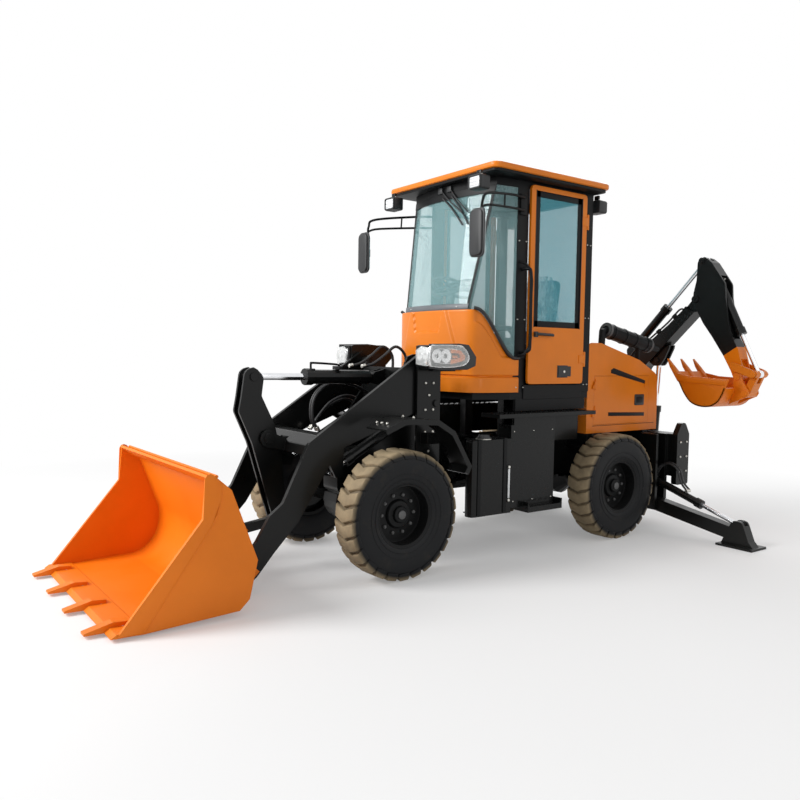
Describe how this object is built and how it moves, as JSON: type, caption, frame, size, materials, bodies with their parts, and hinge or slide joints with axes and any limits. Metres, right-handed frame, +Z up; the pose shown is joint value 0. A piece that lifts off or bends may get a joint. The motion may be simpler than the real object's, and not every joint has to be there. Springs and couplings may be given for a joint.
{
  "type": "articulated backhoe loader",
  "caption": "Compact articulated backhoe loader with a loader bucket in front, a glazed cab, a rear engine hood and a backhoe folded to the left.",
  "frame": {"origin": "on the ground under the middle of the machine's outline", "axes": "+Z up, the loader bucket faces -Y, the machine's left side is +X"},
  "size_m": [3.24, 5.62, 2.923],
  "materials": {
    "orange_paint": "gloss",
    "black_paint": "gloss",
    "tyre_rubber": "matte",
    "rod_chrome": "polished",
    "window_glass": "clear",
    "cast_grey": "rough",
    "black_plastic": "matte"
  },
  "bodies": {
    "rear_frame": {"rear_chassis": "black_paint", "rear_axle": "black_paint", "engine": "cast_grey", "hood": "orange_paint", "cab_frame": "black_paint", "roof": "orange_paint", "windscreen": "window_glass", "cowl": "orange_paint", "rear_window": "window_glass", "seat": "black_plastic", "steering_column": "black_plastic", "muffler": "black_paint", "hydraulic_tank": "black_paint", "backhoe_frame": "black_paint", "mirror_left": "black_plastic", "mirror_right": "black_plastic"},
    "front_frame": {"front_chassis": "black_paint", "front_axle": "black_paint"},
    "door_left_body": {"door_left": "orange_paint", "door_glass_left": "window_glass"},
    "door_right_body": {"door_right": "orange_paint", "door_glass_right": "window_glass"},
    "hood_door_left_body": {"hood_door_left": "orange_paint"},
    "hood_door_right_body": {"hood_door_right": "orange_paint"},
    "loader_arm_body": {"loader_arms": "black_paint"},
    "bellcrank_body": {"bellcrank": "black_paint"},
    "bucket_link_body": {"bucket_link": "black_paint"},
    "loader_bucket_body": {"loader_bucket": "orange_paint"},
    "tilt_cylinder_body": {"tilt_cylinder": "black_paint"},
    "tilt_rod_body": {"tilt_rod": "rod_chrome"},
    "swing_body": {"swing_post": "black_paint"},
    "boom_body": {"boom": "black_paint"},
    "stick_body": {"stick": "black_paint", "bucket_cylinder": "black_paint"},
    "backhoe_bucket_body": {"backhoe_bucket": "orange_paint"},
    "boom_cylinder_body": {"boom_cylinder": "black_paint"},
    "boom_rod_body": {"boom_rod": "rod_chrome"},
    "stick_cylinder_body": {"stick_cylinder": "black_paint"},
    "stick_rod_body": {"stick_rod": "rod_chrome"},
    "bucket_rod_body": {"bucket_rod": "rod_chrome"},
    "guide_link_body": {"guide_link": "black_paint"},
    "push_link_body": {"push_link": "black_paint"},
    "wheel_front_left": {"tyre_front_left": "tyre_rubber", "rim_front_left": "black_paint"},
    "wheel_rear_left": {"tyre_rear_left": "tyre_rubber", "rim_rear_left": "black_paint"},
    "lift_cylinder_left_body": {"lift_cylinder_left": "black_paint"},
    "lift_rod_left_body": {"lift_rod_left": "rod_chrome"},
    "stabilizer_left_body": {"stabilizer_left": "black_paint"},
    "stabilizer_cylinder_left_body": {"stabilizer_cylinder_left": "black_paint"},
    "stabilizer_rod_left_body": {"stabilizer_rod_left": "rod_chrome"},
    "wheel_front_right": {"tyre_front_right": "tyre_rubber", "rim_front_right": "black_paint"},
    "wheel_rear_right": {"tyre_rear_right": "tyre_rubber", "rim_rear_right": "black_paint"},
    "lift_cylinder_right_body": {"lift_cylinder_right": "black_paint"},
    "lift_rod_right_body": {"lift_rod_right": "rod_chrome"},
    "stabilizer_right_body": {"stabilizer_right": "black_paint"},
    "stabilizer_cylinder_right_body": {"stabilizer_cylinder_right": "black_paint"},
    "stabilizer_rod_right_body": {"stabilizer_rod_right": "rod_chrome"}
  },
  "joints": [
    {"name": "wheel_front_left_spin", "type": "hinge", "parent": "front_frame", "child": "wheel_front_left", "pos_m": [0.6425, -0.78, 0.44], "axis": [1, 0, 0], "continuous": true},
    {"name": "wheel_front_right_spin", "type": "hinge", "parent": "front_frame", "child": "wheel_front_right", "pos_m": [-0.6425, -0.78, 0.44], "axis": [1, 0, 0], "continuous": true},
    {"name": "wheel_rear_left_spin", "type": "hinge", "parent": "rear_frame", "child": "wheel_rear_left", "pos_m": [0.6425, 1.455, 0.44], "axis": [1, 0, 0], "continuous": true},
    {"name": "wheel_rear_right_spin", "type": "hinge", "parent": "rear_frame", "child": "wheel_rear_right", "pos_m": [-0.6425, 1.455, 0.44], "axis": [1, 0, 0], "continuous": true},
    {"name": "articulation", "type": "hinge", "parent": "rear_frame", "child": "front_frame", "pos_m": [0, 0.337, 0.67], "axis": [0, 0, 1], "range_deg": [-35, 35]},
    {"name": "door_left_hinge", "type": "hinge", "parent": "rear_frame", "child": "door_left_body", "pos_m": [0.541, 1.172, 2], "axis": [0, 0, 1], "range_deg": [0, 85]},
    {"name": "door_right_hinge", "type": "hinge", "parent": "rear_frame", "child": "door_right_body", "pos_m": [-0.541, 1.172, 2], "axis": [0, 0, -1], "range_deg": [0, 85]},
    {"name": "hood_door_left_hinge", "type": "hinge", "parent": "rear_frame", "child": "hood_door_left_body", "pos_m": [0.5095, 1.369, 1.15], "axis": [0, 0, -1], "range_deg": [0, 80]},
    {"name": "hood_door_right_hinge", "type": "hinge", "parent": "rear_frame", "child": "hood_door_right_body", "pos_m": [-0.5095, 1.369, 1.15], "axis": [0, 0, 1], "range_deg": [0, 80]},
    {"name": "arm_lift", "type": "hinge", "parent": "front_frame", "child": "loader_arm_body", "pos_m": [0, -0.38, 1.45], "axis": [-1, 0, 0], "range_deg": [0, 80]},
    {"name": "lift_cylinder_left_hinge", "type": "hinge", "parent": "front_frame", "child": "lift_cylinder_left_body", "pos_m": [0.33, -0.31, 1.165], "axis": [-1, 0, 0], "range_deg": [-1, 73.85]},
    {"name": "lift_rod_left_slide", "type": "slide", "parent": "lift_cylinder_left_body", "child": "lift_rod_left_body", "axis": [0, -0.8739, -0.4861], "range_m": [-0.002, 0.3546]},
    {"name": "lift_cylinder_right_hinge", "type": "hinge", "parent": "front_frame", "child": "lift_cylinder_right_body", "pos_m": [-0.33, -0.31, 1.165], "axis": [-1, 0, 0], "range_deg": [-1, 73.85]},
    {"name": "lift_rod_right_slide", "type": "slide", "parent": "lift_cylinder_right_body", "child": "lift_rod_right_body", "axis": [0, -0.8739, -0.4861], "range_m": [-0.002, 0.3546]},
    {"name": "bucket_tilt", "type": "hinge", "parent": "loader_arm_body", "child": "loader_bucket_body", "pos_m": [0, -1.77, 0.14], "axis": [1, 0, 0], "range_deg": [-30, 90]},
    {"name": "bellcrank_hinge", "type": "hinge", "parent": "loader_arm_body", "child": "bellcrank_body", "pos_m": [0, -1.461, 0.931], "axis": [1, 0, 0], "range_deg": [-31.43, 11.14]},
    {"name": "bucket_link_hinge", "type": "hinge", "parent": "bellcrank_body", "child": "bucket_link_body", "pos_m": [0, -1.35, 0.35], "axis": [1, 0, 0], "range_deg": [-15.98, 45.93]},
    {"name": "tilt_cylinder_hinge", "type": "hinge", "parent": "front_frame", "child": "tilt_cylinder_body", "pos_m": [0, -0.55, 1.343], "axis": [-1, 0, 0], "range_deg": [-1, 84.52]},
    {"name": "tilt_rod_slide", "type": "slide", "parent": "tilt_cylinder_body", "child": "tilt_rod_body", "axis": [0, -1, 0.0069], "range_m": [-0.2279, 0.0773]},
    {"name": "stabilizer_left_hinge", "type": "hinge", "parent": "rear_frame", "child": "stabilizer_left_body", "pos_m": [0.62, 2.065, 0.235], "axis": [0, -1, 0], "range_deg": [0, 50]},
    {"name": "stabilizer_cylinder_left_hinge", "type": "hinge", "parent": "rear_frame", "child": "stabilizer_cylinder_left_body", "pos_m": [0.61, 2.065, 0.45], "axis": [0, -1, 0], "range_deg": [-1, 52.05]},
    {"name": "stabilizer_rod_left_slide", "type": "slide", "parent": "stabilizer_cylinder_left_body", "child": "stabilizer_rod_left_body", "axis": [0.9496, 0, -0.3135], "range_m": [-0.1833, 0.002]},
    {"name": "stabilizer_right_hinge", "type": "hinge", "parent": "rear_frame", "child": "stabilizer_right_body", "pos_m": [-0.62, 2.065, 0.235], "axis": [0, 1, 0], "range_deg": [0, 50]},
    {"name": "stabilizer_cylinder_right_hinge", "type": "hinge", "parent": "rear_frame", "child": "stabilizer_cylinder_right_body", "pos_m": [-0.61, 2.065, 0.45], "axis": [0, 1, 0], "range_deg": [-1, 52.05]},
    {"name": "stabilizer_rod_right_slide", "type": "slide", "parent": "stabilizer_cylinder_right_body", "child": "stabilizer_rod_right_body", "axis": [-0.9496, 0, -0.3135], "range_m": [-0.1833, 0.002]},
    {"name": "backhoe_swing", "type": "hinge", "parent": "rear_frame", "child": "swing_body", "pos_m": [0, 2.57, 0.66], "axis": [0, 0, 1], "range_deg": [0, 180]},
    {"name": "boom_hinge", "type": "hinge", "parent": "swing_body", "child": "boom_body", "pos_m": [0.06, 2.57, 1.02], "axis": [0, 1, 0], "range_deg": [-5, 66]},
    {"name": "boom_cylinder_hinge", "type": "hinge", "parent": "swing_body", "child": "boom_cylinder_body", "pos_m": [0.235, 2.57, 0.56], "axis": [0, 1, 0], "range_deg": [-3.68, 36.35]},
    {"name": "boom_rod_slide", "type": "slide", "parent": "boom_cylinder_body", "child": "boom_rod_body", "axis": [0.0552, 0, 0.9985], "range_m": [-0.3715, 0.03]},
    {"name": "stick_hinge", "type": "hinge", "parent": "boom_body", "child": "stick_body", "pos_m": [0.69, 2.57, 2.061], "axis": [0, -1, 0], "range_deg": [0, 76]},
    {"name": "stick_cylinder_hinge", "type": "hinge", "parent": "boom_body", "child": "stick_cylinder_body", "pos_m": [-0.02, 2.57, 1.6], "axis": [0, -1, 0], "range_deg": [-1, 11.19]},
    {"name": "stick_rod_slide", "type": "slide", "parent": "stick_cylinder_body", "child": "stick_rod_body", "axis": [0.687, 0, 0.7267], "range_m": [-0.4002, 0.002]},
    {"name": "backhoe_bucket_hinge", "type": "hinge", "parent": "stick_body", "child": "backhoe_bucket_body", "pos_m": [1.133, 2.57, 1.371], "axis": [0, -1, 0], "range_deg": [0, 110]},
    {"name": "guide_link_hinge", "type": "hinge", "parent": "stick_body", "child": "guide_link_body", "pos_m": [1.094, 2.57, 1.46], "axis": [0, -1, 0], "range_deg": [-1, 92.69]},
    {"name": "push_link_hinge", "type": "hinge", "parent": "guide_link_body", "child": "push_link_body", "pos_m": [1.283, 2.57, 1.394], "axis": [0, -1, 0], "range_deg": [-38.59, 1]},
    {"name": "bucket_rod_slide", "type": "slide", "parent": "stick_body", "child": "bucket_rod_body", "axis": [0.4378, 0, -0.8991], "range_m": [-0.2892, 0.002]}
  ],
  "couplings": [
    {"joint": "lift_cylinder_left_hinge", "follows": "arm_lift", "ratio": 0.9107},
    {"joint": "lift_rod_left_slide", "follows": "arm_lift", "m_per_rad": 0.2525},
    {"joint": "lift_cylinder_right_hinge", "follows": "arm_lift", "ratio": 0.9107},
    {"joint": "lift_rod_right_slide", "follows": "arm_lift", "m_per_rad": 0.2525},
    {"joint": "bellcrank_hinge", "follows": "bucket_tilt", "ratio": -0.3381},
    {"joint": "bucket_link_hinge", "follows": "bucket_tilt", "ratio": 0.4992},
    {"joint": "tilt_cylinder_hinge", "follows": "arm_lift", "ratio": 1.044},
    {"joint": "tilt_rod_slide", "follows": "bucket_tilt", "m_per_rad": -0.1438},
    {"joint": "stabilizer_cylinder_left_hinge", "follows": "stabilizer_left_hinge", "ratio": 1.021},
    {"joint": "stabilizer_rod_left_slide", "follows": "stabilizer_left_hinge", "m_per_rad": -0.2078},
    {"joint": "stabilizer_cylinder_right_hinge", "follows": "stabilizer_right_hinge", "ratio": 1.021},
    {"joint": "stabilizer_rod_right_slide", "follows": "stabilizer_right_hinge", "m_per_rad": -0.2078},
    {"joint": "boom_cylinder_hinge", "follows": "boom_hinge", "ratio": 0.5356},
    {"joint": "boom_rod_slide", "follows": "boom_hinge", "m_per_rad": -0.3208},
    {"joint": "stick_cylinder_hinge", "follows": "stick_hinge", "ratio": 0.134},
    {"joint": "stick_rod_slide", "follows": "stick_hinge", "m_per_rad": -0.3002},
    {"joint": "guide_link_hinge", "follows": "backhoe_bucket_hinge", "ratio": 0.8336},
    {"joint": "push_link_hinge", "follows": "backhoe_bucket_hinge", "ratio": -0.3417},
    {"joint": "bucket_rod_slide", "follows": "backhoe_bucket_hinge", "m_per_rad": -0.1496}
  ]
}
